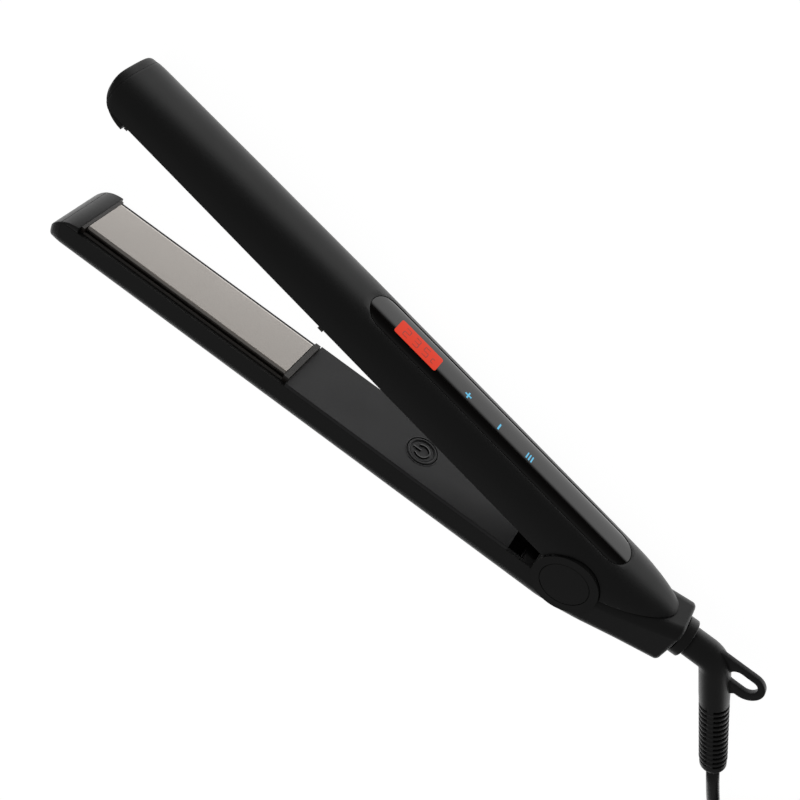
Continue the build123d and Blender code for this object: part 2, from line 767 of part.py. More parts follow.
def plug():
    """Flat two-pin plug that lies on the coil, with its own short strain relief."""
    start = plug_y - plug_relief
    back = along_plug(start, start - plug_length, plug_width, plug_height, 4.0)
    back = fillet(back.faces().sort_by(Axis.Y)[-1].edges(), 3.0)
    relief = loft([
        (Plane(origin=(plug_x, plug_y, plug_z), z_dir=(0, -1, 0)) * Circle(cord_radius + 1.2)).face(),
        (Plane(origin=(plug_x, start - 1, plug_z), z_dir=(0, -1, 0)) * Circle(cord_radius + 2.4)).face(),
    ])
    made = back + relief
    made -= Pos(plug_x, plug_y - 5, plug_z) * Rot(90, 0, 0) * Cylinder(cord_radius, 10.4)
    for side in (-1, 1):
        made -= plug_pin_at(side, 8.0, 0.0)
    return made


def plug_pin_at(side, inside, outside):
    end = plug_y - plug_relief - plug_length
    length = inside + outside
    y_mid = end + inside - length / 2
    x = plug_x + side * plug_pin_pitch / 2
    return Pos(x, y_mid, plug_z) * Rot(90, 0, 0) * Cylinder(plug_pin_radius, length)


def plug_pin(side):
    pin = plug_pin_at(side, 8.0, plug_pin_length)
    return fillet(pin.faces().sort_by(Axis.Y)[0].edges(), 0.9)


# ---------------------------------------------------------------- the whole flat iron
def with_posts(shell):
    for x in board_posts:
        shell += casing_post(x)
        shell -= peg(x, 0, board_depth, board_depth + 4.7, screw_radius)
    return shell


def bed_posts(shell, upper):
    """Posts that the heater bed's screws go into."""
    for x in bed_screws:
        depth = upper_depth(x) if upper else lower_depth
        post = peg(x, 0, 9.75, depth - wall / 2, 3.0) - peg(x, 0, 9, 13.6, 1.45)
        shell += place(post, upper)
    return shell


def main():
    save(bed_posts(with_posts(lower_shell()), False), "lower_shell", black)
    save(lower_cover(), "lower_cover", charcoal)
    save(lower_end_cap(), "lower_end_cap", black)
    save_arm_set("lower", False)
    save(power_button(), "power_button", charcoal)
    save(power_switch(), "power_switch", black)
    save(main_board(), "main_board", board_green)
    for n in range(len(board_parts)):
        save(board_part(n), f"board_part_{n + 1}", steel)
    for n, x in enumerate(board_posts):
        save(board_screw(x), f"board_screw_{n + 1}", steel)
    save(hinge_pin(), "hinge_pin", steel)
    save(hinge_spring(), "hinge_spring", steel)
    save(hub_cap(False), "hub_cap_near", black)
    save(hub_cap(True), "hub_cap_far", black)
    save(swivel_collar(), "swivel_collar", black)
    save(bed_posts(upper_shell(), True), "upper_shell", black)
    save(upper_cover(), "upper_cover", charcoal)
    save(place(upper_end_cap(), True), "upper_end_cap", black)
    save_arm_set("upper", True)
    save(hinge_bush(), "hinge_bush", white)
    save(display_window(), "display_window", black)
    save(lcd_panel(), "lcd_panel", (0.9, 0.25, 0.1))
    save(control_board(), "control_board", board_green)
    for n, key in enumerate(("menu", "minus", "plus")):
        save(touch_pad(n), f"touch_pad_{key}", brass)
    save(swivel_stem(), "swivel_stem", charcoal)
    save(cord_elbow(), "cord_elbow", black)
    save(lead_in_elbow(), "lead_in_elbow", black)
    save(cord_tube(), "cord", black)
    save(cord_coil(), "cord_coil", black)
    save(cord_tail(), "cord_tail", black)
    save(coil_tie(), "coil_tie", charcoal)
    save(plug(), "plug_body", black)
    for n, side in enumerate((-1, 1)):
        save(plug_pin(side), f"plug_pin_{n + 1}", brass)


main()
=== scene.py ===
# %% [markdown]
# # A hair straightener, finished in Blender
# The iron lies on its side on a table, held open by its hinge spring. The frame is a set of finished
# solids with the right sizes. This script gives them their looks: moulded shells, a coated plate, a
# smoked window with lit keys, a ribbed strain relief and a mains cord. Lengths are written in
# millimetres and multiplied by `mm`, because Blender's unit here is the metre.

# %% Load the frame
import json
import math
import bmesh
import bpy
from mathutils import Matrix, Vector


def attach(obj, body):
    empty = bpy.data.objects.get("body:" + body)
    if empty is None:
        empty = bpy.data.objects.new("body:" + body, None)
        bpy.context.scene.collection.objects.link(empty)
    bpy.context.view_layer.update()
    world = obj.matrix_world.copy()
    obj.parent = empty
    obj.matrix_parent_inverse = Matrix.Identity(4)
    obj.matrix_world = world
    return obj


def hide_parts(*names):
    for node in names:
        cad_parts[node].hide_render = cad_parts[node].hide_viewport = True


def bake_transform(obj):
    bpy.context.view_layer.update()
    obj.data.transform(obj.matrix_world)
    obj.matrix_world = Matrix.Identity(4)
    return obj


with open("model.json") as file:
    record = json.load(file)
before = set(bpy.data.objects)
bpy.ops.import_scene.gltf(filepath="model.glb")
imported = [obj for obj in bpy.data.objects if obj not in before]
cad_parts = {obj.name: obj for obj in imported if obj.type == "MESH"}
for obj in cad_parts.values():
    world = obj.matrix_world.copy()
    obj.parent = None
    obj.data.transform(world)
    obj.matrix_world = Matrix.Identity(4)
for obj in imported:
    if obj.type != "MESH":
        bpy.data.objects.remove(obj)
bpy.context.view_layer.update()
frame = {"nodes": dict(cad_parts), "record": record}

mm = 0.001
nodes = frame["nodes"]
scene = bpy.context.scene

# %% [markdown]
# ## The camera
# It looks down at the iron from the upper arm's side. Its picture is turned so that the cord leaves
# at the lower right. A camera is aimed by its three axes: to its right, up, and backwards.

# %% Place the camera
lens = 53.34
camera = bpy.data.objects.new("camera", bpy.data.cameras.new("camera"))
camera.data.lens = lens
camera.data.sensor_width = 36.0
camera.data.clip_start, camera.data.clip_end = 0.01, 50.0
right = Vector((-0.80431, -0.37092, -0.46422))
up = Vector((0.58896, -0.60124, -0.54003))
back = right.cross(up)
stands_at = Vector((62.34, -376.46, 375.39)) * mm
turn = Matrix((right, up, back)).transposed().to_4x4()
camera.matrix_world = Matrix.Translation(stands_at) @ turn
scene.collection.objects.link(camera)
scene.camera = camera
print("camera:", [round(v, 3) for v in camera.location], "m, lens", lens, "mm")

# %% [markdown]
# ## Sizes that several pieces share
# The hinge axis stands on the table at the origin, and both arms' middle planes lie `mid` above it.
# An arm's pieces are drawn as if on the lower arm: x along the arm, h down from the plane where the
# plates meet, z across. The upper arm is the same drawing mirrored and turned about the hinge.

# %% Name the sizes
half = 15.9                     # half the width of an arm
mid = 16.6                      # height of the arms' middle plane over the table
mate_y = 1.3                    # plane where the plates meet
open_angle = math.radians(13.6)
swivel_y = -0.9
bend_x = -71.4
boot_turn = math.radians(56.75)
boot_length = 69.0
cord_radius = 3.1
crease = math.radians(40)       # edges sharper than this stay sharp when a mesh is shaded smooth
print("arms:", 2 * half, "mm wide, open", round(math.degrees(open_angle), 1), "degrees")

# %% [markdown]
# ## Points and pieces
# One function turns an arm's own measures into a point of the frame, so both arms share their
# drawings. Another makes a finished mesh into a piece that rides on one moving body.

# %% Place points and pieces
def arm_point(x, h, z, upper=False):
    """A point of an arm in the row frame, in metres."""
    if not upper:
        return Vector((x, mate_y + h, mid + z)) * mm
    y = mate_y - h
    c, s = math.cos(open_angle), -math.sin(open_angle)
    return Vector((c * x - s * y, s * x + c * y, mid + z)) * mm


def new_object(name, mesh, body):
    """Links a finished mesh as a piece that rides on a body."""
    piece = bpy.data.objects.new(name, mesh)
    scene.collection.objects.link(piece)
    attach(piece, body)
    return piece


def painted(mesh, material):
    """The mesh, in one material."""
    mesh.materials.clear()
    mesh.materials.append(material)
    return mesh


print("a point on the upper arm:", [round(v, 4) for v in arm_point(100, 0, 0, True)], "m")

# %% [markdown]
# ## Ways to make a mesh
# Most pieces are skinned: rings of points, faces between each ring and the next, and a face over each
# end. A lathe does the same with rings that may shrink to a point. A tube is a skin along a path.

# %% Skin and turn
def finished(bm):
    """A plain mesh of the faces in bm, turned outwards."""
    bmesh.ops.recalc_face_normals(bm, faces=bm.faces)
    mesh = bpy.data.meshes.new("skin")
    bm.to_mesh(mesh)
    bm.free()
    return mesh


def skinned(rings):
    """A closed mesh through rings of points."""
    bm = bmesh.new()
    rings = [[bm.verts.new(point) for point in ring] for ring in rings]
    for a, b in zip(rings, rings[1:]):
        for k in range(len(a)):
            n = (k + 1) % len(a)
            bm.faces.new((a[k], a[n], b[n], b[k]))
    bm.faces.new(rings[0])
    bm.faces.new(list(reversed(rings[-1])))
    return finished(bm)


def lathe(profile, place, sides=96):
    """Turns a profile of (radius, height) points; place puts (radius, angle, height) in the frame."""
    bm = bmesh.new()
    rings = []
    for r, h in profile:
        if r < 1e-6:
            rings.append([bm.verts.new(place(0.0, 0.0, h))])
            continue
        rings.append([bm.verts.new(place(r, 2 * math.pi * k / sides, h)) for k in range(sides)])
    for a, b in zip(rings, rings[1:]):
        for k in range(sides):
            n = (k + 1) % sides
            corners = [a[k % len(a)], a[n % len(a)], b[n % len(b)], b[k % len(b)]]
            bm.faces.new(list(dict.fromkeys(corners)))
    for ring in (rings[0], rings[-1]):
        if len(ring) > 1:
            bm.faces.new(ring)
    mesh = finished(bm)
    mesh.shade_smooth()
    mesh.set_sharp_from_angle(angle=crease)
    return mesh


def joined(meshes):
    """Several meshes as one."""
    bm = bmesh.new()
    for mesh in meshes:
        bm.from_mesh(mesh)
    whole = bpy.data.meshes.new("joined")
    bm.to_mesh(whole)
    bm.free()
    whole.set_sharp_from_angle(angle=crease)
    return whole


def points_of(curve):
    """The points that a curve without a bevel runs through."""
    holder = bpy.data.objects.new("ruler", curve)
    scene.collection.objects.link(holder)
    bpy.context.view_layer.update()
    shape = holder.evaluated_get(bpy.context.evaluated_depsgraph_get())
    line = bpy.data.meshes.new_from_object(shape)
    found = [v.co.copy() for v in line.vertices]
    bpy.data.meshes.remove(line)
    bpy.data.objects.remove(holder)
    return found


def tube_mesh(path, radius_at, sides=20):
    """A closed tube along a path. A UV map says how far along and around it a face lies, in metres."""
    bm = bmesh.new()
    uv = bm.loops.layers.uv.new("along")
    way = [(b - a).normalized() for a, b in zip(path, path[1:])]
    way.append(way[-1])
    side = way[0].orthogonal().normalized()
    rings, run = [], [0.0]
    for i, here in enumerate(path):
        side = (side - side.dot(way[i]) * way[i]).normalized()
        other = way[i].cross(side)
        r = radius_at(i)
        ring = []
        for k in range(sides):
            a = 2 * math.pi * k / sides
            ring.append(bm.verts.new(here + r * (math.cos(a) * side + math.sin(a) * other)))
        rings.append(ring)
        if i:
            run.append(run[-1] + (here - path[i - 1]).length)
    for i, (a, b) in enumerate(zip(rings, rings[1:])):
        for k in range(sides):
            n = (k + 1) % sides
            face = bm.faces.new((a[k], a[n], b[n], b[k]))
            face.smooth = True
            turns = (k / sides, (k + 1) / sides, (k + 1) / sides, k / sides)
            for loop, t, l in zip(face.loops, turns, (run[i], run[i], run[i + 1], run[i + 1])):
                loop[uv].uv = (t * 2 * math.pi * radius_at(i), l)
    bm.faces.new(list(reversed(rings[0])))
    bm.faces.new(rings[-1])
    return finished(bm)


print("a dowel:", len(tube_mesh([Vector(), Vector((0, 0, mm))], lambda i: mm).polygons), "faces")

# %% [markdown]
# ## The cord
# A mains cord is one length of something springy, so it is drawn as one smooth line. It leaves the
# strain relief straight, comes down to the table, and its spare length is put away in a neat coil.
# A NURBS spline takes the route's points as control points. The coil's turns are more points of the
# same spline, worked out by a loop: three turns side by side, four layers, in and out again. The tail
# then climbs over the coil and down its far side to the plug, which lies on top.

# %% Draw the cord's line
boot_way = Vector((-math.cos(boot_turn), math.sin(boot_turn), 0))
bend = Vector((bend_x, swivel_y, mid))
boot_end = bend + boot_length * boot_way
first_straight = 24.0           # the cord leaves the relief straight for this long
cord_bend = boot_end + first_straight * boot_way
tie_thickness = 0.7
lie = tie_thickness + cord_radius
coil_centre = Vector((-187.0, 101.2, 0.0))
coil_radius, coil_columns, coil_layers = 33.0, 3, 4
coil_top = tie_thickness + coil_layers * 2 * cord_radius
plug_thickness = 13.6
plug_z = coil_top + plug_thickness / 2
route = [
    tuple(boot_end),
    tuple(cord_bend),
    (-135.6, 96.6, 9.6),
    (-151.6, 122.6, lie),
]
tail = [
    (9.5, 38.7, coil_top - cord_radius),
    (-8.6, 38.7, coil_top + 1.2),
    (-23.4, 30.1, coil_top + 4.4),
    (-32.0, 15.3, plug_z),
    (-32.0, -2.0, plug_z),
]


def coil_points(start_angle, turns, per_turn=16, shift_part=0.2):
    """Turns wound out and in again by layers. A turn shifts to the next place in its last part."""
    pitch = 2 * cord_radius
    places = []
    for layer in range(coil_layers):
        columns = range(coil_columns) if layer % 2 else reversed(range(coil_columns))
        places += [(coil_radius + (c - 1) * pitch, lie + layer * pitch) for c in columns]
    places.append(places[-1])
    made = []
    for i in range(int(turns * per_turn) + 1):
        whole, part = divmod(i / per_turn, 1.0)
        (r0, z0), (r1, z1) = places[int(whole)], places[int(whole) + 1]
        ease = max(0.0, (part - 1 + shift_part) / shift_part)
        ease = ease * ease * (3 - 2 * ease)
        a = start_angle + 2 * math.pi * i / per_turn
        r, z = r0 + (r1 - r0) * ease, z0 + (z1 - z0) * ease
        made.append(coil_centre + Vector((r * math.cos(a), r * math.sin(a), z)))
    return made


start_angle = math.radians(52.0)
coil = coil_points(start_angle, 11.0)
controls = [Vector(p) for p in route] + coil + [coil_centre + Vector(p) for p in tail]
line = bpy.data.curves.new("cord_line", "CURVE")
line.dimensions = "3D"
line.resolution_u = 4
spline = line.splines.new("NURBS")
spline.points.add(len(controls) - 1)
for place, p in zip(spline.points, controls):
    place.co = (*(p * mm), 1.0)
spline.order_u = 3
spline.use_endpoint_u = True
cord_path = points_of(line)
bpy.data.curves.remove(line)
cord_length = sum((b - a).length for a, b in zip(cord_path, cord_path[1:]))
print(f"cord: {len(controls)} control points, {cord_length:.3f} m long")

# %% [markdown]
# ## Colours and nodes
# Colours are written as they look on a screen, in hex, and one function turns them to the linear
# values that the shader adds up. A second small function adds a node with its settings and links.

# %% Helpers for materials
def srgb(code):
    """A hex colour as linear red, green, blue and one."""
    parts = [int(code[i:i + 2], 16) / 255 for i in (1, 3, 5)]
    return (*[p / 12.92 if p <= 0.04045 else ((p + 0.055) / 1.055) ** 2.4 for p in parts], 1.0)


def add(tree, kind, values=None, links=None, **settings):
    """Adds a node: its settings by name, its inputs by name or number, and its links from outputs."""
    made = tree.nodes.new(kind)
    for key, value in settings.items():
        setattr(made, key, value)
    for key, value in (values or {}).items():
        made.inputs[key].default_value = value
    for key, source in (links or {}).items():
        tree.links.new(source, made.inputs[key])
    return made


def new_material(name, **values):
    """A material with one Principled shader, whose even values are set on its own sockets."""
    material = bpy.data.materials.new(name)
    material.use_nodes = True
    shader = material.node_tree.nodes["Principled BSDF"]
    for key, value in values.items():
        shader.inputs[key.replace("_", " ")].default_value = value
    return material, material.node_tree, shader


def grained(name, base, size_mm, height_mm, roughness, spread=0.06, **values):
    """A material with fine bumps, a colour that varies with them, and a roughness that wanders."""
    material, tree, shader = new_material(name, **values)
    place = add(tree, "ShaderNodeTexCoord")
    noise = add(tree, "ShaderNodeTexNoise", {"Scale": 1 / (size_mm * mm), "Detail": 4.0},
                {"Vector": place.outputs["Object"]})
    bump = add(tree, "ShaderNodeBump", {"Strength": 1.0, "Distance": height_mm * mm},
               {"Height": noise.outputs["Fac"]})
    cloud = add(tree, "ShaderNodeTexNoise", {"Scale": 1 / (18 * mm), "Detail": 2.0},
                {"Vector": place.outputs["Object"]})
    rough = add(tree, "ShaderNodeMapRange",
                {"To Min": roughness - spread, "To Max": roughness + spread},
                {"Value": cloud.outputs["Fac"]})
    tint = add(tree, "ShaderNodeMapRange", {"To Min": 0.92, "To Max": 1.08},
               {"Value": noise.outputs["Fac"]})
    shade = add(tree, "ShaderNodeMix", {6: srgb(base), "Factor": 1.0}, {7: tint.outputs["Result"]},
                data_type="RGBA", blend_type="MULTIPLY")
    tree.links.new(shade.outputs[2], shader.inputs["Base Color"])
    tree.links.new(rough.outputs["Result"], shader.inputs["Roughness"])
    tree.links.new(bump.outputs["Normal"], shader.inputs["Normal"])
    return material


print("mid grey in linear light:", round(srgb("#808080")[0], 3))

# %% [markdown]
# ## The finishes
# Each real material gets a name and its own numbers: its colour, the size and height of its grain in
# millimetres, and its roughness. Metals are metallic. The rest differ by how strongly they mirror.

# %% Materials
# soft-touch painted ABS: almost black, with a broad dim sheen
soft_touch = grained("soft_touch_abs", "#1c1c1c", 0.35, 0.005, 0.5, IOR=1.45, Specular_IOR_Level=0.42)
# inner covers with a spark-eroded grain, a little lighter and duller
moulded_abs = grained("moulded_abs_grained", "#313132", 0.5, 0.015, 0.62, IOR=1.5, Specular_IOR_Level=0.5)
# heater beds: dark, brownish and faintly fibrous
bed_nylon = grained("glass_filled_nylon", "#35312e", 0.4, 0.01, 0.34, IOR=1.53)
# bead-blasted aluminium under a thin warm grey coat
titanium = grained("titanium_coated_plate", "#aca7a2", 0.3, 0.012, 0.32, 0.03, Metallic=1.0)
# soft PVC of the strain relief, and the harder shine of the cord's jacket
soft_pvc = grained("soft_pvc_relief", "#161616", 0.45, 0.015, 0.5, IOR=1.52, Specular_IOR_Level=0.4)
cord_pvc = grained("pvc_cord_jacket", "#151515", 0.6, 0.01, 0.42, IOR=1.52, Specular_IOR_Level=0.45)
# black behind a polished face
smoked = grained("smoked_acrylic", "#090706", 3.0, 0.001, 0.06, 0.015, IOR=1.49)
# display glass lit from behind, its darker digits, and the light blue print of the keys
lcd_glow = grained("backlit_lcd", "#240704", 2.0, 0.0005, 0.4, 0.02, Emission_Strength=1.0,
                   Specular_IOR_Level=0.15, Emission_Color=srgb("#d83a24"))
lcd_dark = grained("lcd_segment_dark", "#4a120c", 2.0, 0.0005, 0.4, 0.02, IOR=1.49,
                   Emission_Strength=0.8, Emission_Color=srgb("#9c2b1d"))
key_print = grained("backlit_key_print", "#3f86a6", 2.0, 0.0005, 0.4, 0.02, IOR=1.49,
                    Emission_Strength=0.9, Emission_Color=srgb("#5ab4d8"))
# polished black ABS of the power sign
gloss_abs = grained("polished_abs", "#080808", 2.0, 0.0005, 0.12, 0.02, IOR=1.5)
# hardware and electronics inside
zinc = grained("zinc_plated_steel", "#a9acae", 0.6, 0.006, 0.34, Metallic=1.0)
nickel = grained("nickel_plated_brass", "#c9c0ad", 0.8, 0.003, 0.2, 0.03, Metallic=1.0)
bronze = grained("sintered_bronze", "#8a6a3f", 0.3, 0.01, 0.45, Metallic=1.0)
ceramic = grained("ceramic_heater_body", "#e8e4da", 0.5, 0.01, 0.6, IOR=1.6)
silicone = grained("silicone_rubber", "#8c3325", 0.5, 0.01, 0.55, IOR=1.41)
laminate = grained("epoxy_laminate", "#1d5a32", 0.9, 0.004, 0.3, IOR=1.55)
small_black = grained("moulded_component", "#202022", 0.5, 0.01, 0.45, IOR=1.5)
foam = grained("conductive_foam", "#303034", 0.6, 0.04, 0.8, IOR=1.4)

finish_of_slot = {
    "soft_touch_black": soft_touch, "inner_cover_black": moulded_abs, "bed_nylon": bed_nylon,
    "titanium_plate": titanium, "ceramic_heater": ceramic, "silicone_pad": silicone,
    "zinc_steel": zinc, "sintered_bronze": bronze, "circuit_board": laminate,
    "component_black": small_black, "smoked_window": smoked, "lcd_glass": lcd_glow,
    "foam_key_pad": foam, "cord_pvc": cord_pvc, "nickel_brass": nickel,
}
for row in frame["record"]["subparts"]:
    part = nodes[row["node"]]
    part.data.materials.clear()
    part.data.materials.append(finish_of_slot[row["material_slot"]])
for name in ("cord_elbow", "swivel_stem", "plug_body", "swivel_collar"):
    nodes[name].data.materials[0] = soft_pvc
print("materials:", len(finish_of_slot), "slots finished")

# %% [markdown]
# ## The cord as a tube
# The cord's mesh follows the line at an even radius. Its length counts what the coil puts away.

# %% The cord as a tube
cord_mesh = tube_mesh(cord_path, lambda i: cord_radius * mm)
cord_mesh.materials.append(cord_pvc)
cord_piece = bpy.data.objects.new("mains_cord", cord_mesh)
scene.collection.objects.link(cord_piece)
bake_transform(cord_piece)
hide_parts("cord", "cord_coil", "cord_tail")
print("cord:", len(cord_mesh.polygons), "faces")

# %% [markdown]
# ## A casing's section
# Each casing is a moulded shell with straight sides and a crowned back, so no part of the back is
# flat and light runs across it smoothly. A superellipse gives that: squarer than an ellipse, rounder
# than a box. A casing is a stack of such sections along the arm, skinned with faces.

# %% Draw sections and skin them
edge_depth = 3.4                # a casing's edge, below the meeting plane
wall = 2.0
upper_line = [(-60.0, 25.2), (-12.0, 23.7), (145.0, 21.5), (215.0, 19.4), (300.0, 16.3)]


def upper_depth(x):
    """Depth of the upper arm's back below its meeting plane."""
    for (x0, d0), (x1, d1) in zip(upper_line, upper_line[1:]):
        if x <= x1:
            return d0 + (d1 - d0) * (x - x0) / (x1 - x0)


def super_arc(wide, high, power, steps):
    """Points of a quarter superellipse from (wide, 0) to (0, high), evenly spread in angle."""
    made = []
    for k in range(steps + 1):
        a = math.pi / 2 * k / steps
        c, s = math.cos(a), math.sin(a)
        r = ((c / wide) ** power + (s / high) ** power) ** (-1 / power)
        made.append((r * c, r * s))
    return made


def section(width, top, waist, depth, back_power=3.0, shoulder=0.2, steps=16):
    """A closed section as (z, h) points: round the back, up the sides, round the top corners."""
    back = super_arc(width, depth - waist, back_power, steps)
    r = min(shoulder, waist - top - 0.05, 0.4 * width)
    turns = [math.pi / 12 * k for k in range(7)]
    corner = [(width - r + r * math.cos(a), top + r - r * math.sin(a)) for a in turns]
    points = [(z, waist + h) for z, h in back]
    points += [(-z, waist + h) for z, h in reversed(back[:-1])]
    points += [(-z, h) for z, h in corner]
    points += [(z, h) for z, h in reversed(corner)]
    return points


def skin(stations, upper):
    """Skins closed sections along an arm: stations are (x, points)."""
    return skinned([[arm_point(x, h, z, upper) for z, h in points] for x, points in stations])


print("a section has", len(section(half, 0.0, 7.5, 20.0)), "points")

# %% [markdown]
# ## Cutting and softening
# Hollows and openings are cut with the Boolean modifier. A moulded edge is never quite sharp, so a
# narrow bevel rounds it, and everything flatter is shaded smooth.

# %% Cut and soften
def cut(mesh, cutters):
    """The mesh with each cutter taken away from it."""
    solid = bpy.data.objects.new("solid", mesh)
    scene.collection.objects.link(solid)
    tools = []
    for cutter in cutters:
        tool = bpy.data.objects.new("cutter", cutter)
        scene.collection.objects.link(tool)
        step = solid.modifiers.new("cut", "BOOLEAN")
        step.operation, step.object, step.solver = "DIFFERENCE", tool, "EXACT"
        tools.append(tool)
    return plain(solid, tools)


def plain(solid, helpers=()):
    """The object's finished mesh; the object and its helpers are removed."""
    bpy.context.view_layer.update()
    shape = solid.evaluated_get(bpy.context.evaluated_depsgraph_get())
    mesh = bpy.data.meshes.new_from_object(shape)
    for o in (solid, *helpers):
        bpy.data.objects.remove(o)
    return mesh


def soften(mesh, width_mm, segments=2, angle=math.radians(38), weld=0.004 * mm):
    """Rounds the sharp edges a little, as a mould leaves them, and shades the rest smooth."""
    bm = bmesh.new()
    bm.from_mesh(mesh)
    bmesh.ops.remove_doubles(bm, verts=bm.verts, dist=weld)
    bmesh.ops.dissolve_degenerate(bm, edges=bm.edges, dist=weld)
    bm.to_mesh(mesh)
    bm.free()
    solid = bpy.data.objects.new("solid", mesh)
    scene.collection.objects.link(solid)
    bevel = solid.modifiers.new("edges", "BEVEL")
    bevel.width, bevel.segments = width_mm * mm, segments
    bevel.limit_method, bevel.angle_limit = "ANGLE", angle
    bevel.use_clamp_overlap = True
    mesh = plain(solid)
    mesh.shade_smooth()
    mesh.set_sharp_from_angle(angle=angle)
    return mesh


def prism(outline, z0, z1):
    """A block over an outline in the row frame's XY plane, in millimetres."""
    return skinned([[Vector((x, y, z)) * mm for x, y in outline] for z in (z0, z1)])


def circle(radius, count=96):
    """Points of a circle about the hinge axis."""
    turns = [2 * math.pi * k / count for k in range(count)]
    return [(radius * math.cos(a), radius * math.sin(a)) for a in turns]


print("a softened block:", len(soften(prism(circle(5, 8), 0, 5), 0.2).polygons), "faces")

# %% [markdown]
# ## The upper casing
# Seen from its back it is a long tapered box that closes to a boat's stern over the tail housing.
# Its sections narrow along a superellipse in plan, and its tip is rounded off the same way. Every
# shape that lies on the casing asks these functions how wide and how deep it is.

# %% The casing's outline
seam_x = 273.5                  # where the end cap meets the casing's back
waist = 7.5                     # the sides are straight down to here
nose_start, nose_length = 262.65, 14.6
nose_top, nose_lip = 0.5, 1.8   # a nose's height at the plate, and its lip's height at the very tip
stern_start, stern_length = -12.0, 36.9
window_x0, window_x1, window_half = -10.5, 142.5, 8.6


def plan_width(x):
    """Half the upper casing's width: straight, then closing towards the stern."""
    t = max(0.0, (stern_start - x) / stern_length)
    return half * (1 - min(t, 0.9995) ** 1.75) ** (1 / 1.75)


def tip_width(x, length):
    """Half an arm's width at its tip, rounded off beyond the plate."""
    t = min(0.9995, max(0.0, (x - nose_start) / length))
    return half * (1 - t ** 6) ** (1 / 6)


def stern_depth(x):
    """The back's depth, rounded off at the very end of the stern."""
    t = max(0.0, (stern_start - x) / stern_length)
    return waist + (upper_depth(x) - waist) * (1 - min(t, 0.9995) ** 4.5) ** (1 / 4.5)


def nose_height(x, depth, length):
    """Where an end cap's nose starts below the meeting plane: a quarter ellipse down to the back."""
    t = min(1.0, max(0.0, (x - nose_start) / length))
    return nose_top + (depth - nose_top - nose_lip) * (1 - math.sqrt(1 - t * t))


def even(x0, x1, count):
    """Evenly spaced numbers from x0 to x1."""
    return [x0 + (x1 - x0) * k / (count - 1) for k in range(count)]


def back_height(x, z, power=3.0):
    """Depth of the crowned back at a place across it."""
    across = min(0.999, abs(z) / plan_width(x))
    return waist + (stern_depth(x) - waist) * (1 - across ** power) ** (1 / power)


def back_plate(x0, x1, half_width, above, below, corner=None, rows=12):
    """A plate with round corners that follows the crowned back, from above it to below it."""
    corner = corner or half_width
    stations = []
    ends = [corner * (1 - math.cos(math.pi / 2 * k / 10)) for k in range(11)]
    places = [x0 + e for e in ends] + even(x0 + corner, x1 - corner, 40)[1:-1]
    places += [x1 - e for e in reversed(ends)]
    for x in places:
        reach = max(0.0, corner - min(x - x0, x1 - x))
        w = max(0.15, half_width - corner + math.sqrt(max(0.0, corner ** 2 - reach ** 2)))
        across = [w * (1 - 2 * k / rows) for k in range(rows + 1)]
        outside = [(z, back_height(x, z) + above) for z in across]
        stations.append((x, outside + [(z, back_height(x, z) - below) for z in reversed(across)]))
    return stations


print("half width 20 mm before the stern's end:", round(plan_width(stern_start - stern_length + 20), 2))

# %% [markdown]
# ## The upper casing itself
# The outside is skinned, and four things are cut out of it: the hollow, the round clearance at the
# hinge, the slope of the stern over the tail housing, and the bed of the window.

# %% Upper casing
stern_x = [stern_start - stern_length * math.sin(math.pi / 2 * k / 22) for k in range(22, 0, -1)]
run_x = even(stern_start, 262.0, 48) + even(263.0, seam_x, 12)
outer = []
for x in stern_x + run_x:
    top = max(edge_depth, nose_height(x, upper_depth(x), nose_length))
    wide = min(plan_width(x), tip_width(x, nose_length))
    outer.append((x, section(wide, top, max(waist, top + 0.8), stern_depth(x))))
back_wall, stern_wall = wall + 0.8, 2.5
inner = []
for x in even(-42.0, stern_start, 10)[:-1] + even(stern_start, nose_start + 5.0, 30):
    inside = section(plan_width(x + stern_wall) - wall, 0.0, waist, upper_depth(x) - back_wall)
    inner.append((x, inside))

deck_slope = math.tan(math.radians(14.5))
deck_x, deck_y = -15.0, -3.7    # the slope over the tail housing runs through here
below_all, above_all = -20.0, 60.0
deck_line = [(x, deck_y + (x - deck_x) * deck_slope) for x in (-7.0, -75.0)]
deck = prism(deck_line + [(-75.0, above_all), (-7.0, above_all)], below_all, above_all)
groove, bed_depth = 0.3, 1.5
bed = back_plate(window_x0 - groove, window_x1 + groove, window_half + groove, 3.0, bed_depth)
hub_clearance = prism(circle(15.85), -5.0, 40.0)
casing = cut(skin(outer, True), [skin(inner, True), hub_clearance, deck, skin(bed, True)])
casing = painted(soften(casing, 0.25), soft_touch)
upper_casing = new_object("upper_casing", casing, "upper_arm")
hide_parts("upper_shell")
print("upper casing:", len(casing.polygons), "faces")

# %% [markdown]
# ## The knuckle
# Inside the casing a round barrel turns on the hinge pin's bush, and a web joins it to the back. Part
# of the web is cut away to leave room for the hinge spring.

# %% Knuckle
knuckle_half, barrel_radius, barrel_top = 10.5, 7.6, 4.4
web_box = [(-knuckle_half, 8.5), (knuckle_half, 8.5), (knuckle_half, 19.0), (-knuckle_half, 19.0)]
web = skin([(x, web_box) for x in (-5.5, 5.5)], True)
barrel = cut(prism(circle(barrel_radius), mid - knuckle_half, mid + barrel_top),
             [prism(circle(4.6), -5.0, 40.0)])
web = cut(web, [prism(circle(7.0), mid + barrel_top, mid + 14.0),
                prism(circle(barrel_radius - 0.1), -5.0, 40.0)])
knuckle = painted(joined([barrel, web]), soft_touch)
new_object("upper_knuckle", knuckle, "upper_arm")
print("knuckle:", len(knuckle.polygons), "faces")

# %% [markdown]
# ## The end caps
# Each arm ends in a separate moulded cap: a soft nose that rises from the back to the plate's level.
# It is skinned like the casing, with sections that shrink along a superellipse in both views. A core
# reaches under the casing's end, so that nothing shows through at the seam.

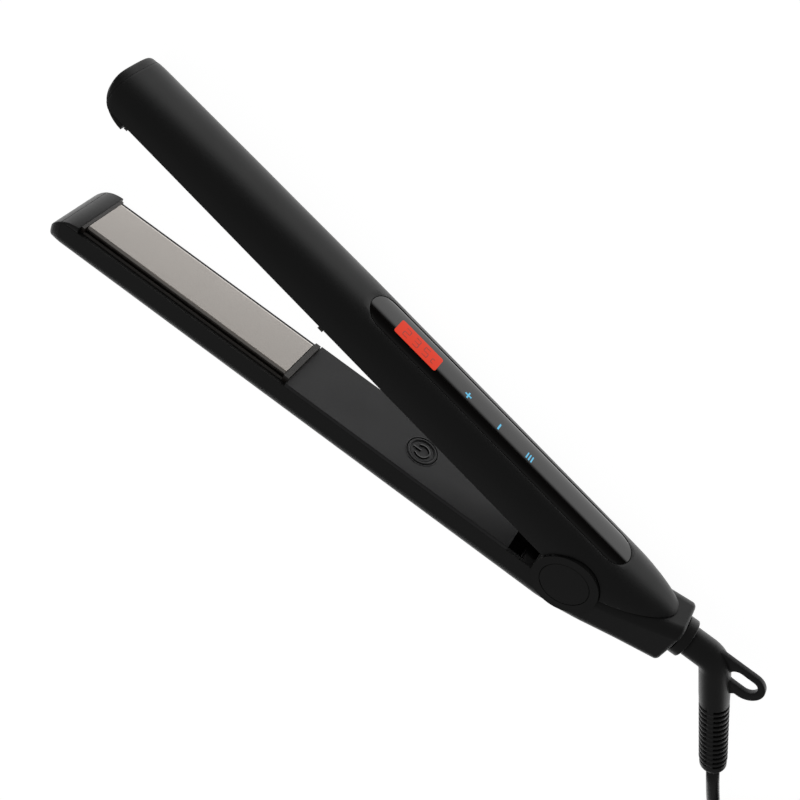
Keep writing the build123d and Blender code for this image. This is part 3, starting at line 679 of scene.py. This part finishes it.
# %% End caps
def end_cap(depth_at, length, seam, upper, back_power=3.0, count=34):
    """A rounded nose from the plate's end to the tip, and a core that fills the casing's end."""
    shoulder, inset, back_round = 0.5, 0.25, 2.2
    full, core = [], []
    for k in range(count):
        u = math.sin(math.pi / 2 * min(k / (count - 1), 0.985))
        x = nose_start + length * u
        d = depth_at(x)
        top = nose_height(x, d, length)
        w = tip_width(x, length)
        low = max(top + 1.2, d - back_round * (1 - (1 - u ** 12) ** (1 / 12)))
        middle = min(max(waist, top + 0.8), low - 0.4)
        full.append((x, section(w, top, middle, low, back_power, shoulder)))
        if x < seam + 1.0:
            inside = section(w - inset, top + inset, middle, low - inset, back_power, shoulder)
            core.append((x + 0.2, inside))
    covered = [(-20, edge_depth - 0.15), (20, edge_depth - 0.15), (20, 30), (-20, 30)]
    casing_zone = skin([(x, covered) for x in (250.0, seam + 0.12)], upper)
    nose = soften(cut(skin(full, upper), [casing_zone]), 0.2)
    return painted(joined([nose, soften(skin(core, upper), 0.1)]), soft_touch)


upper_cap = end_cap(upper_depth, nose_length, seam_x, True)
upper_tip = new_object("upper_tip", upper_cap, "upper_arm")
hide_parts("upper_end_cap")
print("upper end cap:", len(upper_cap.polygons), "faces")

# %% [markdown]
# ## The window
# A crowned strip of smoked acrylic lies flush in the back, with a hair-thin groove round it.

# %% Window
face = -0.12                    # the window's face, from the casing's back
pane = skin(back_plate(window_x0, window_x1, window_half, face, 1.3), True)
pane = painted(soften(pane, 0.15, segments=1), smoked)
window = new_object("smoked_window", pane, "upper_arm")
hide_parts("display_window")
print("window:", len(pane.polygons), "faces")

# %% [markdown]
# ## The display and the keys
# Under the window a backlit display glows orange, and three touch keys are printed in pale blue. Each
# is a thin layer that follows the crowned back. The digits are seven-segment figures, worked out
# from one bar with pointed ends, and the menu key is three short bars.

# %% Draw a display
lcd = skin(back_plate(104.0, 127.8, 4.3, face + 0.05, 0.3, corner=1.0), True)
lcd = painted(soften(lcd, 0.02, segments=1), lcd_glow)
new_object("display_glow", lcd, "upper_arm")


def bar(x0, z0, x1, z1, width, pointed=True):
    """Outline of a bar between two points, with pointed or square ends."""
    a, b = Vector((x0, z0)), Vector((x1, z1))
    along = (b - a).normalized()
    side = Vector((-along.y, along.x)) * width / 2
    tip = along * (width / 2 if pointed else 0.0)
    return [a, a + tip + side, b - tip + side, b, b - tip - side, a + tip - side]


def printed(outlines, lift, material, thickness=0.03):
    """Thin shapes that lie on the window's face; outlines are lists of (x, z)."""
    shapes = []
    for outline in outlines:
        shapes.append(skinned([[arm_point(x, back_height(x, z) + face + h, z, True) for x, z in outline]
                               for h in (lift, lift + thickness)]))
    return painted(joined(shapes), material)


print("display:", len(lcd.polygons), "faces")

# %% [markdown]
# ## Digits and key signs
# A figure is two units high. Each of its segments is named by where it is, and a lit figure is a
# list of names. The menu sign is three short bars side by side.

# %% Digits and key signs
# a segment's two ends, to the right of and above the figure's middle
segments = {
    "top": (-0.6, 1, 0.6, 1), "middle": (-0.6, 0, 0.6, 0), "bottom": (-0.6, -1, 0.6, -1),
    "right_top": (0.6, 0, 0.6, 1), "right_low": (0.6, -1, 0.6, 0),
    "left_top": (-0.6, 0, -0.6, 1), "left_low": (-0.6, -1, -0.6, 0),
}
figures = [
    (122.8, 0.0, 2.3, ("top", "right_top", "middle", "left_low", "bottom")),
    (117.2, 0.0, 2.3, ("top", "right_top", "middle", "right_low", "bottom")),
    (111.7, 0.0, 2.3, ("top", "left_top", "middle", "right_low", "bottom")),
    (107.3, -0.9, 1.2, ("top", "left_top", "left_low", "bottom")),
]
segment_width = 0.42
strokes = []
for x, rise, tall, lit in figures:
    for name in lit:
        u0, v0, u1, v1 = (tall * c for c in segments[name])
        strokes.append(bar(x - u0, -(rise + v0), x - u1, -(rise + v1), segment_width))
new_object("display_digits", printed(strokes, 0.06, lcd_dark), "upper_arm")

plus_x, minus_x, menu_x, menu_pitch = 86.7, 68.3, 50.1, 1.4
key_reach, plus_width = 1.7, 0.75
key_bars = [
    bar(plus_x - key_reach, 0, plus_x + key_reach, 0, plus_width, False),
    bar(plus_x, -key_reach, plus_x, -plus_width / 2, plus_width, False),
    bar(plus_x, plus_width / 2, plus_x, key_reach, plus_width, False),
    bar(minus_x, -key_reach, minus_x, key_reach, 0.8, False),
]
for x in (menu_x - menu_pitch, menu_x, menu_x + menu_pitch):
    key_bars.append(bar(x, -key_reach, x, key_reach, 0.6, False))
new_object("key_signs", printed(key_bars, 0.02, key_print), "upper_arm")
print("display:", len(strokes), "segments;", len(key_bars), "key bars")

# %% [markdown]
# ## The lower arm's end and rails
# The lower arm's tip is the same cap on a casing of even depth. Beside each plate a thin bead of the
# heater's tray shows along the casing's edge and catches a line of light.

# %% Lower end cap and rails
lower_depth, lower_nose, lower_seam = 20.0, 16.2, 271.5
lower_cap = end_cap(lambda x: lower_depth, lower_nose, lower_seam, False, back_power=3.9)
lower_tip = new_object("lower_tip", lower_cap, "lower_arm")
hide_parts("lower_end_cap")
plate_start, plate_end = 150.5, 260.5
bead_radius, bead_z, bead_depth = 0.8, 13.3, 3.3
bead_x = even(plate_start - 0.3, plate_end + 0.3, 12)
for arm, upper in (("lower", False), ("upper", True)):
    beads = []
    for z in (-bead_z, bead_z):
        path = [arm_point(x, bead_depth, z, upper) for x in bead_x]
        beads.append(tube_mesh(path, lambda i: bead_radius * mm, sides=12))
    new_object(f"{arm}_tray_beads", painted(joined(beads), bed_nylon), f"{arm}_arm")
print("rails: 4 beads of", 2 * bead_radius, "mm")

# %% [markdown]
# ## The power button
# A round key with a moulded ring and a shallow dish, so that a finger finds it. It is turned from a
# profile, and the power sign stands in the dish as a polished arc with a stroke.

# %% Power button
button_x = 82.3


def on_cover(r, a, h):
    """A place on the power button: radius, angle and depth below the meeting plane."""
    return arm_point(button_x + r * math.cos(a), h, r * math.sin(a))


flange = [(0.0, 4.2), (8.1, 4.2), (8.1, 3.75), (7.0, 3.7), (7.0, 1.75)]
rim = [(6.85, 1.5), (6.6, 1.4), (6.2, 1.4), (5.95, 1.55), (5.85, 1.95)]
dish = [(5.5, 2.0), (5.35, 1.85), (5.0, 1.82), (2.5, 1.98), (0.0, 2.04)]
key = lathe(flange + rim + dish, on_cover)
stem = lathe([(0.0, 4.1), (2.2, 4.1), (2.2, 8.0), (0.0, 8.0)], on_cover, sides=32)
key = painted(joined([key, stem]), moulded_abs)
button = new_object("power_key", key, "power_button")
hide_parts("power_button")
print("power key:", len(key.polygons), "faces")

# %% [markdown]
# ## The power sign and the bezel
# The sign is an open ring with a stroke through its gap. Both stand a little out of the dish. The
# bezel is a thin round lip on the cover, about the key.

# %% Power sign and bezel
def thick_arc(radius, width, start, end, h0, h1, steps=40):
    """An arc of even width that stands between two depths."""
    near, far = radius - width / 2, radius + width / 2
    edge = [(near, h0), (far, h0), (far, h1), (near, h1)]
    turns = even(start, end, steps + 1)
    return skinned([[on_cover(r, a, h) for r, h in edge] for a in turns])


sign_top, sign_foot = 1.6, 2.1
gap = math.radians(42)
open_ring = thick_arc(3.5, 0.95, gap, 2 * math.pi - gap, sign_top, sign_foot)
stroke_half = 0.48
stroke_box = [(-stroke_half, sign_top), (stroke_half, sign_top),
              (stroke_half, sign_foot), (-stroke_half, sign_foot)]
stroke = skin([(x, stroke_box) for x in (button_x + 0.6, button_x + 4.6)], False)
sign = painted(soften(joined([open_ring, stroke]), 0.12), gloss_abs)
new_object("power_sign", sign, "power_button")
bezel = lathe([(7.42, 2.6), (7.42, 1.75), (7.55, 1.6), (7.75, 1.55), (7.95, 1.6), (8.1, 1.75), (8.1, 2.6)],
              on_cover)
new_object("button_bezel", painted(bezel, moulded_abs), "lower_arm")
print("power sign:", len(sign.polygons), "faces; bezel:", len(bezel.polygons), "faces")

# %% [markdown]
# ## The cord's elbow and its ribs
# The elbow turns on the swivel, bends, and tapers to a strain relief. It is one tube whose radius
# changes along its path: a stout neck, a knee, a stretch sunk to the bottom of the grooves, and a tip
# that rounds off onto the cord.

# %% Elbow's core
neck_radius, boot_radius, boot_tip_radius = 6.9, 6.7, 6.1
rib_count, rib_pitch, rib_first = 13, 3.05, 27.0
groove_width, groove_depth, web_width = 1.5, 1.2, 2.8
neck_start = -57.3
knee_radius = 9.0
knee_reach = knee_radius * math.tan(boot_turn / 2)
elbow_path = []
for x in even(neck_start, bend_x + knee_reach, 8)[:-1]:
    elbow_path.append(Vector((x, swivel_y, mid)))
knee_centre = Vector((bend_x + knee_reach, swivel_y + knee_radius, mid))
for a in even(0.0, boot_turn, 15):
    elbow_path.append(knee_centre + knee_radius * Vector((-math.sin(a), -math.cos(a), 0)))
boot_start = len(elbow_path)
swell_end, step = 23.5, 0.02    # where the boot is stoutest; how steep a groove's wall is
groove_start = rib_first - groove_width / 2
groove_end = rib_first + (rib_count - 1) * rib_pitch + groove_width / 2
tip_round = 2.6
boot_run = [knee_reach + 0.6, 14.0, 20.0, swell_end]
boot_run += [groove_start, groove_start + step, groove_end - step, groove_end]
boot_run += [boot_length - tip_round * (1 - math.sin(math.pi / 2 * k / 8)) for k in range(9)]
for distance in boot_run:
    elbow_path.append(bend + distance * boot_way)


def boot_radius_at(distance):
    """The plain boot's radius: it tapers from its stoutest place to its tip."""
    return boot_radius + (boot_tip_radius - boot_radius) * (distance - swell_end) / (boot_length - swell_end)


def core_radius(i):
    """Radius of the elbow's core at a point of its path."""
    if i < 2:
        return (neck_radius - 0.6 * (1 - i)) * mm
    if i < boot_start:
        return neck_radius * mm
    distance = boot_run[i - boot_start]
    if groove_start < distance < groove_end:
        return (boot_radius - groove_depth) * mm
    if distance < swell_end:
        t = (distance - knee_reach) / (swell_end - knee_reach)
        t = t * t * (3 - 2 * t)
        return (neck_radius + (boot_radius + 0.1 - neck_radius) * t) * mm
    r = boot_radius_at(distance)
    left = boot_length - distance
    if left < tip_round:
        r -= tip_round * (1 - math.sqrt(max(0.0, 1 - (1 - left / tip_round) ** 2)))
    return r * mm


core = tube_mesh([p * mm for p in elbow_path], core_radius, sides=64)
print("core:", len(elbow_path), "places along its path")

# %% [markdown]
# ## The ribs' tree
# The ribs are what lets the relief bend evenly. They repeat along a line, so Geometry Nodes make
# them: a line of points, a ring on each, and every ring's profile swept round it. The named inputs
# are the sizes a mould maker would ask for.

# %% Ribs, by Geometry Nodes
def interface_input(tree, name, kind, value):
    """A named input of a Geometry Nodes tree, with its default."""
    socket = tree.interface.new_socket(name, in_out="INPUT", socket_type=kind)
    if value is not None:
        socket.default_value = value
    return socket.identifier


ribs_tree = bpy.data.node_groups.new("strain_relief_ribs", "GeometryNodeTree")
ribs_tree.interface.new_socket("Geometry", in_out="OUTPUT", socket_type="NodeSocketGeometry")
rib_inputs = [
    ("Count", "Int", 3), ("Pitch", "Float", 0.003), ("Radius", "Float", 0.006), ("Depth", "Float", 0.001),
    ("Width", "Float", 0.0015), ("Taper", "Float", 0.0), ("Material", "Material", None),
]
socket_of = {name: interface_input(ribs_tree, name, "NodeSocket" + kind, value)
             for name, kind, value in rib_inputs}
inp = add(ribs_tree, "NodeGroupInput")
offset = add(ribs_tree, "ShaderNodeCombineXYZ", links={"Z": inp.outputs["Pitch"]})
places = add(ribs_tree, "GeometryNodeMeshLine",
             links={"Count": inp.outputs["Count"], "Offset": offset.outputs["Vector"]}, mode="OFFSET")
order = add(ribs_tree, "GeometryNodeInputIndex")
shrink = add(ribs_tree, "ShaderNodeMath", links={0: order.outputs["Index"], 1: inp.outputs["Taper"]},
             operation="MULTIPLY")
size_now = add(ribs_tree, "ShaderNodeMath", {0: 1.0}, {1: shrink.outputs["Value"]}, operation="SUBTRACT")
scale_now = add(ribs_tree, "ShaderNodeCombineXYZ", {"Z": 1.0},
                {"X": size_now.outputs["Value"], "Y": size_now.outputs["Value"]})
middle_radius = add(ribs_tree, "ShaderNodeMath", links={0: inp.outputs["Radius"], 1: inp.outputs["Depth"]},
                    operation="SUBTRACT")
ring = add(ribs_tree, "GeometryNodeCurvePrimitiveCircle", {"Resolution": 64},
           {"Radius": middle_radius.outputs["Value"]})
double_depth = add(ribs_tree, "ShaderNodeMath", {1: 2.0}, {0: inp.outputs["Depth"]}, operation="MULTIPLY")
flat = add(ribs_tree, "GeometryNodeCurvePrimitiveQuadrilateral",
           links={"Width": double_depth.outputs["Value"], "Height": inp.outputs["Width"]})
softened = add(ribs_tree, "GeometryNodeFilletCurve", {"Count": 3, "Radius": 0.3 * mm},
               {"Curve": flat.outputs["Curve"]}, mode="POLY")
swept = add(ribs_tree, "GeometryNodeCurveToMesh",
            links={"Curve": ring.outputs["Curve"], "Profile Curve": softened.outputs["Curve"]})
many = add(ribs_tree, "GeometryNodeInstanceOnPoints",
           links={"Points": places.outputs["Mesh"], "Instance": swept.outputs["Mesh"],
                  "Scale": scale_now.outputs["Vector"]})
real = add(ribs_tree, "GeometryNodeRealizeInstances", links={"Geometry": many.outputs["Instances"]})
smooth = add(ribs_tree, "GeometryNodeSetShadeSmooth", links={"Geometry": real.outputs["Geometry"]})
tinted = add(ribs_tree, "GeometryNodeSetMaterial",
             links={"Geometry": smooth.outputs["Geometry"], "Material": inp.outputs["Material"]})
add(ribs_tree, "NodeGroupOutput", links={"Geometry": tinted.outputs["Geometry"]})
print("ribs' tree:", len(ribs_tree.nodes), "nodes, inputs", ", ".join(socket_of))

# %% [markdown]
# ## Ribs on the relief
# A modifier runs the tree with this relief's sizes, and the result is kept as a plain mesh. It is then
# stood on the relief's own line.

# %% Grow the ribs
def grown(tree, values):
    """The plain mesh that a Geometry Nodes tree makes from these values."""
    seed = bpy.data.objects.new("seed", bpy.data.meshes.new("seed"))
    scene.collection.objects.link(seed)
    maker = seed.modifiers.new("make", "NODES")
    maker.node_group = tree
    for name, value in values.items():
        maker[socket_of[name]] = value
    return plain(seed)


ribs = grown(ribs_tree, {
    "Count": rib_count - 1, "Pitch": rib_pitch * mm, "Radius": (boot_radius - 0.02) * mm,
    "Depth": groove_depth * 0.75 * mm, "Width": (rib_pitch - groove_width) * mm,
    "Taper": 0.0035, "Material": soft_pvc})
first_rib = bend + (rib_first + rib_pitch / 2) * boot_way
across = Vector((0, 0, 1))
sideways = boot_way.cross(across)
stand = Matrix((sideways, -across, boot_way)).transposed().to_4x4()
ribs.transform(Matrix.Translation(first_rib * mm) @ stand)
print("ribs:", rib_count - 1, "of", len(ribs.polygons) // (rib_count - 1), "faces each")

# %% [markdown]
# ## Strips, hanging loop and the whole relief
# The grooves stop at a plain strip on each side. A flat tab with a slot hangs the iron on a hook: it
# is an outline that runs tangent to the knee, closed by a round end.

# %% Strips, loop and relief
def web_strip(side):
    """The plain strip along the relief that the grooves stop at."""
    rings = []
    for distance in even(rib_first - 1.5, groove_end + 0.8, 10):
        r = boot_radius_at(distance) - 0.02
        low = r - groove_depth - 0.4
        ring = [(s, math.sqrt(r * r - s * s)) for s in even(-web_width / 2, web_width / 2, 7)]
        ring += [(web_width / 2, low), (-web_width / 2, low)]
        middle = bend + distance * boot_way
        rings.append([(middle + s * sideways + side * z * across) * mm for s, z in ring])
    return skinned(rings)


loop_end = Vector((-89.0, 0.4))
loop_radius, loop_half = 7.9, 1.6
slot_radius, slot_reach = 3.8, 3.0
outline = [(bend_x + 1.0, swivel_y - neck_radius + 0.3)]
for a in even(math.radians(-92), math.radians(-278), 37):
    outline.append((loop_end.x + loop_radius * math.cos(a), loop_end.y + loop_radius * math.sin(a)))
join = bend + 19.0 * boot_way
outline += [(join.x - 1.0, join.y), (bend_x + 1.0, swivel_y + 3.0)]
slot_middle = loop_end + Vector((2.6, -0.8))
slot_outline = []
for end, first in ((slot_reach, -90), (-slot_reach, 90)):
    for a in even(math.radians(first), math.radians(first + 180), 17):
        slot_outline.append((slot_middle.x + end + slot_radius * math.cos(a),
                             slot_middle.y + slot_radius * math.sin(a)))
slot = prism(slot_outline, mid - 5, mid + 5)
tab = soften(cut(prism(outline, mid - loop_half, mid + loop_half), [slot]), 0.7, segments=3)
elbow_mesh = painted(joined([core, ribs, web_strip(1), web_strip(-1), tab]), soft_pvc)
elbow = new_object("strain_relief", elbow_mesh, "cord_swivel")
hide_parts("cord_elbow")
print("strain relief:", rib_count, "grooves,", len(elbow_mesh.polygons), "faces")

# %% [markdown]
# ## Floor and light
# The iron is dark and matt, so it is lit the way dark goods are: a bright white sweep behind it and a
# dim room on the camera's side. Faces that turn towards the sweep catch it at a glancing angle, and
# faces that look back at the room stay black. The sweep is the world itself, bright in one half of
# all directions. The table is a white sheet that glows evenly, and the iron doesn't reflect it.

# %% Floor and light
floor_half = 9.0                # metres
corners = [(-floor_half, -floor_half, 0), (floor_half, -floor_half, 0),
           (floor_half, floor_half, 0), (-floor_half, floor_half, 0)]
floor_mesh = bpy.data.meshes.new("floor")
floor_mesh.from_pydata(corners, [], [(0, 1, 2, 3)])
floor = bpy.data.objects.new("floor", floor_mesh)
scene.collection.objects.link(floor)
paper = new_material("white_paper", Roughness=0.9, Specular_IOR_Level=0.0, Base_Color=srgb("#8a8a8a"),
                     Emission_Color=srgb("#ffffff"), Emission_Strength=0.96)[0]
floor_mesh.materials.append(paper)
floor.visible_glossy = False
floor.visible_diffuse = False
floor.visible_shadow = False
print("floor:", 2 * floor_half, "m wide")

# %% [markdown]
# ## The world's light
# How far a direction turns towards the sweep decides whether it is bright or dim, with a soft edge. Below
# the horizon the room darkens. A camera ray that misses the iron sees plain white.

# %% World
sweep_way = Vector((0.12, 0.70, -0.70)).normalized()    # the middle of the bright half
sweep_bright, room_dim, room_floor = 1.75, 0.21, 0.03
world = bpy.data.worlds.new("studio")
scene.world = world
world.use_nodes = True
tree = world.node_tree
seen_way = add(tree, "ShaderNodeTexCoord")
towards = add(tree, "ShaderNodeVectorMath", {1: sweep_way}, {0: seen_way.outputs["Generated"]},
              operation="DOT_PRODUCT")
height = add(tree, "ShaderNodeSeparateXYZ", links={0: seen_way.outputs["Generated"]})
room = add(tree, "ShaderNodeMapRange",
           {"From Min": -0.6, "From Max": 0.0, "To Min": room_floor, "To Max": room_dim},
           {"Value": height.outputs["Z"]})
level = add(tree, "ShaderNodeMapRange", {"From Min": -0.04, "From Max": 0.03, "To Max": sweep_bright},
            {"Value": towards.outputs["Value"], "To Min": room.outputs["Result"]},
            interpolation_type="SMOOTHSTEP")
low_only = add(tree, "ShaderNodeMapRange",
               {"From Min": -0.05, "From Max": 0.10, "To Min": 1.0, "To Max": 0.0},
               {"Value": height.outputs["Z"]}, interpolation_type="SMOOTHSTEP")
level = add(tree, "ShaderNodeMix", {2: room_dim}, {0: low_only.outputs["Result"], 3: level.outputs["Result"]},
            data_type="FLOAT")
eye = add(tree, "ShaderNodeLightPath")
shown = add(tree, "ShaderNodeMix", {3: 1.0}, {0: eye.outputs["Is Camera Ray"], 2: level.outputs[0]},
            data_type="FLOAT")
sky = tree.nodes["Background"]
sky.inputs["Color"].default_value = srgb("#ffffff")
tree.links.new(shown.outputs[0], sky.inputs["Strength"])
scene.view_settings.view_transform = "Standard"
print("light: sweep", sweep_bright, "against a room at", room_dim)
